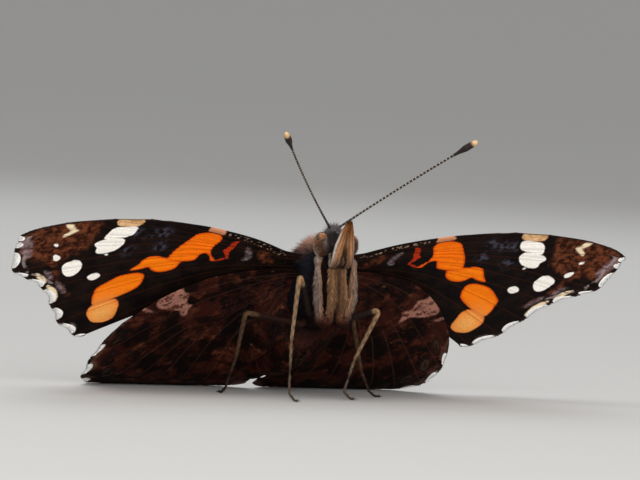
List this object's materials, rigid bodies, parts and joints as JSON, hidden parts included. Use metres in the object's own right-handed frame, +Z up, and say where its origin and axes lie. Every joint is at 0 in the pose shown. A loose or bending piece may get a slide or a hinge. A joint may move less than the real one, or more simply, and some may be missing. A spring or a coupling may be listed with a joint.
{
  "type": "red admiral butterfly model",
  "caption": "Life-size butterfly standing on its legs, wings held open and tilted back, antennae raised: a still display model.",
  "frame": {"origin": "on the floor, under the middle of the whole insect's bounding box", "axes": "+X to the insect's left, -Y where it faces, +Z up"},
  "size_m": [0.0656, 0.0276, 0.0253],
  "materials": {
    "forewing": "velvety black-brown wing scales with an orange-red band and white marks",
    "hindwing": "mottled dark maroon-brown wing scales",
    "body_fur": "soft brown and blue-grey hair",
    "abdomen_fur": "short dark brown hair in bands",
    "head_fur": "short grey-blue and brown hair",
    "eye": "satin, finely faceted, mottled brown",
    "palp": "dense orange-brown scales with a pale edge",
    "antenna": "dark, finely ringed in white, club tipped with cream",
    "foreleg": "long tan and grey hair, like a brush",
    "leg": "tan and olive scales"
  },
  "bodies": {
    "root": {"thorax": "body_fur", "abdomen": "abdomen_fur", "head": "head_fur", "forewing_left": "forewing", "hindwing_left": "hindwing", "eye_left": "eye", "palp_left": "palp", "antenna_left": "antenna", "foreleg_left": "foreleg", "forewing_right": "forewing", "hindwing_right": "hindwing", "eye_right": "eye", "palp_right": "palp", "antenna_right": "antenna", "foreleg_right": "foreleg", "mid_leg_left": "leg", "mid_leg_right": "leg", "hind_leg_left": "leg", "hind_leg_right": "leg"}
  },
  "joints": []
}
